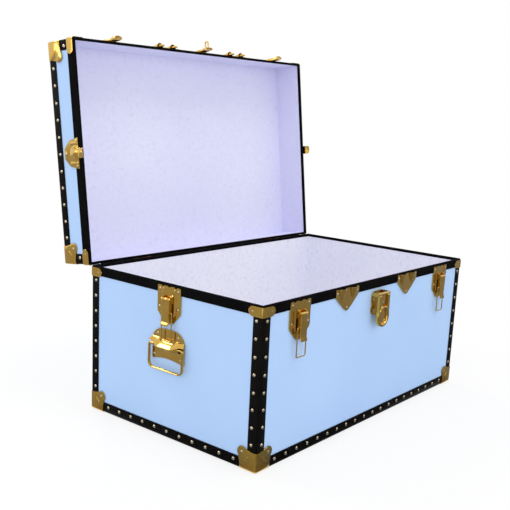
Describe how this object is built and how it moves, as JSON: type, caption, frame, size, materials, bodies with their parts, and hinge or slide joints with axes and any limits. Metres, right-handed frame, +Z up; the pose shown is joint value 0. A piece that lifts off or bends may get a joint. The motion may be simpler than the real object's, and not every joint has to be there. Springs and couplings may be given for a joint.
{
  "type": "storage trunk",
  "caption": "Flat-topped storage trunk with blue panels, black edging and brass fittings; the lid stands open on stop hinges, with draw catches, a hasp lock and drop handles.",
  "frame": {"origin": "middle of the base's footprint, on the flat underside of the bottom panel, which stands on the floor", "axes": "+X to the right along the front, +Y to the back, +Z up; the front with the lock faces -Y"},
  "size_m": [0.953, 0.7562, 0.9587],
  "materials": {
    "blue_panel": "smooth pale blue facing on plywood",
    "lining_paper": "matt pale lavender lining with a faint mottle",
    "black_edging": "black fibre angle, satin",
    "black_rim": "black enamel, satin",
    "brass": "bright pressed brass"
  },
  "bodies": {
    "base": {"base_bottom_panel": "blue_panel", "base_front_panel": "blue_panel", "base_back_panel": "blue_panel", "base_left_panel": "blue_panel", "base_right_panel": "blue_panel", "base_lining": "lining_paper", "base_edging": "black_edging", "base_rim": "black_rim", "base_corner_cap_front_left": "brass", "base_corner_cap_front_right": "brass", "base_corner_cap_back_left": "brass", "base_corner_cap_back_right": "brass", "base_rim_clip_front_left": "brass", "base_rim_clip_front_right": "brass", "base_rim_clip_back_left": "brass", "base_rim_clip_back_right": "brass", "catch_plate_front_left": "brass", "catch_plate_front_right": "brass", "catch_plate_left_end": "brass", "catch_plate_right_end": "brass", "base_locator_left": "brass", "base_locator_right": "brass", "lock_plate": "brass", "handle_plate_left": "brass", "handle_plate_right": "brass", "hinge_base_leaf_left": "brass", "hinge_base_leaf_right": "brass"},
    "lid": {"lid_top_panel": "blue_panel", "lid_side_frame": "blue_panel", "lid_lining": "lining_paper", "lid_edging": "black_edging", "lid_rim": "black_rim", "lid_corner_cap_front_left": "brass", "lid_corner_cap_front_right": "brass", "lid_corner_cap_back_left": "brass", "lid_corner_cap_back_right": "brass", "lid_rim_clip_front_left": "brass", "lid_rim_clip_front_right": "brass", "lid_rim_clip_back_left": "brass", "lid_rim_clip_back_right": "brass", "lid_hook_front_left": "brass", "lid_hook_front_right": "brass", "lid_hook_left_end": "brass", "lid_hook_right_end": "brass", "lid_locator_left": "brass", "lid_locator_right": "brass", "lid_staple": "brass", "hinge_lid_leaf_left": "brass", "hinge_lid_leaf_right": "brass"},
    "lever_front_left": {"catch_lever_front_left": "brass"},
    "bail_front_left": {"catch_bail_front_left": "brass"},
    "lever_front_right": {"catch_lever_front_right": "brass"},
    "bail_front_right": {"catch_bail_front_right": "brass"},
    "lever_left_end": {"catch_lever_left_end": "brass"},
    "bail_left_end": {"catch_bail_left_end": "brass"},
    "lever_right_end": {"catch_lever_right_end": "brass"},
    "bail_right_end": {"catch_bail_right_end": "brass"},
    "hasp": {"lock_hasp": "brass"},
    "ring_left": {"handle_ring_left": "brass"},
    "ring_right": {"handle_ring_right": "brass"}
  },
  "joints": [
    {"name": "lid_hinge", "type": "hinge", "parent": "base", "child": "lid", "pos_m": [0, 0.28015, 0.37425], "axis": [1, 0, 0], "range_deg": [0, 97]},
    {"name": "lever_front_left_pivot", "type": "hinge", "parent": "base", "child": "lever_front_left", "pos_m": [-0.3275, -0.2875, 0.3415], "axis": [1, 0, 0], "range_deg": [-135, 0]},
    {"name": "bail_front_left_pivot", "type": "hinge", "parent": "lever_front_left", "child": "bail_front_left", "pos_m": [-0.3275, -0.286, 0.3115], "axis": [-1, 0, 0], "range_deg": [-6, 180]},
    {"name": "lever_front_right_pivot", "type": "hinge", "parent": "base", "child": "lever_front_right", "pos_m": [0.3275, -0.2875, 0.3415], "axis": [1, 0, 0], "range_deg": [-135, 0]},
    {"name": "bail_front_right_pivot", "type": "hinge", "parent": "lever_front_right", "child": "bail_front_right", "pos_m": [0.3275, -0.286, 0.3115], "axis": [-1, 0, 0], "range_deg": [-6, 180]},
    {"name": "lever_left_end_pivot", "type": "hinge", "parent": "base", "child": "lever_left_end", "pos_m": [-0.467, 0, 0.3415], "axis": [0, -1, 0], "range_deg": [-135, 0]},
    {"name": "bail_left_end_pivot", "type": "hinge", "parent": "lever_left_end", "child": "bail_left_end", "pos_m": [-0.4655, 0, 0.3115], "axis": [0, 1, 0], "range_deg": [-3.5, 180]},
    {"name": "lever_right_end_pivot", "type": "hinge", "parent": "base", "child": "lever_right_end", "pos_m": [0.467, 0, 0.3415], "axis": [0, 1, 0], "range_deg": [-135, 0]},
    {"name": "bail_right_end_pivot", "type": "hinge", "parent": "lever_right_end", "child": "bail_right_end", "pos_m": [0.4655, 0, 0.3115], "axis": [0, -1, 0], "range_deg": [-3.5, 180]},
    {"name": "hasp_hinge", "type": "hinge", "parent": "base", "child": "hasp", "pos_m": [0, -0.2935, 0.3405], "axis": [-1, 0, 0], "range_deg": [0, 180]},
    {"name": "ring_left_pivot", "type": "hinge", "parent": "base", "child": "ring_left", "pos_m": [-0.466, 0, 0.229], "axis": [0, 1, 0], "range_deg": [-5, 95]},
    {"name": "ring_right_pivot", "type": "hinge", "parent": "base", "child": "ring_right", "pos_m": [0.466, 0, 0.229], "axis": [0, -1, 0], "range_deg": [-5, 95]}
  ]
}
